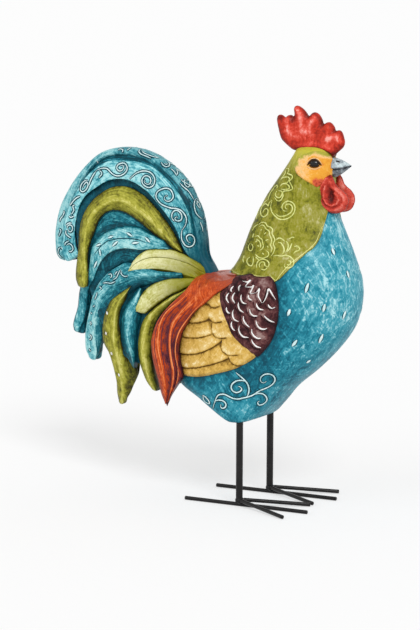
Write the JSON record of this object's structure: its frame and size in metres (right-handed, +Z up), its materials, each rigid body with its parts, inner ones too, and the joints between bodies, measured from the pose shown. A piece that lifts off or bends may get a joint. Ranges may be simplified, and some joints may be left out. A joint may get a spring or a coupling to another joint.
{
  "type": "rooster figurine",
  "caption": "Free-standing painted rooster figurine with a fanned tail of curved plumes, on two bent wire legs.",
  "frame": {"origin": "on the surface it stands on, under the middle of the whole figure", "axes": "+Z up, the bird faces +X, its right side is at -Y"},
  "size_m": [0.2586, 0.1022, 0.3],
  "materials": {
    "teal_paint": "satin hand-painted resin, teal, brushed lighter strokes",
    "deep_teal_paint": "satin hand-painted resin, deep teal in the grooves",
    "pale_teal_paint": "satin hand-painted resin, pale teal with a dark wash",
    "olive_paint": "satin hand-painted resin, olive green, light crests",
    "pale_olive_paint": "satin hand-painted resin, pale olive",
    "orange_paint": "satin hand-painted resin, red-orange, purple-brown valleys",
    "ochre_paint": "satin hand-painted resin, ochre with brown grooves",
    "maroon_paint": "satin hand-painted resin, maroon with white strokes",
    "red_paint": "satin hand-painted resin, coral red",
    "grey_paint": "satin hand-painted resin, blue-grey",
    "eye_black": "gloss black bead",
    "black_wire": "semi-gloss black lacquer on steel wire"
  },
  "bodies": {
    "root": {"body_casting": "teal_paint", "neck_and_head": "olive_paint", "beak": "grey_paint", "comb": "red_paint", "wattle_right": "red_paint", "wattle_left": "red_paint", "eye_right": "eye_black", "eye_left": "eye_black", "wing_right": "ochre_paint", "wing_left": "ochre_paint", "wing_shoulder_right": "maroon_paint", "wing_shoulder_left": "maroon_paint", "saddle": "orange_paint", "tail_core": "deep_teal_paint", "rim_plume": "pale_teal_paint", "upper_sickle_right": "pale_teal_paint", "upper_sickle_left": "pale_teal_paint", "olive_sickle_right": "olive_paint", "olive_sickle_left": "olive_paint", "leafy_covert_right": "pale_teal_paint", "leafy_covert_left": "pale_teal_paint", "scrolled_covert_right": "pale_teal_paint", "scrolled_covert_left": "pale_teal_paint", "olive_covert_right": "olive_paint", "olive_covert_left": "olive_paint", "short_covert_right": "teal_paint", "short_covert_left": "teal_paint", "inner_covert_right": "olive_paint", "inner_covert_left": "olive_paint", "upper_leaf_right": "pale_olive_paint", "upper_leaf_left": "pale_olive_paint", "lower_leaf_right": "pale_olive_paint", "lower_leaf_left": "pale_olive_paint", "leg_right": "black_wire", "leg_left": "black_wire", "long_toe_right": "black_wire", "long_toe_left": "black_wire", "inner_toe_right": "black_wire", "inner_toe_left": "black_wire", "outer_toe_right": "black_wire", "outer_toe_left": "black_wire", "foot_weld_right": "black_wire", "foot_weld_left": "black_wire"}
  },
  "joints": []
}
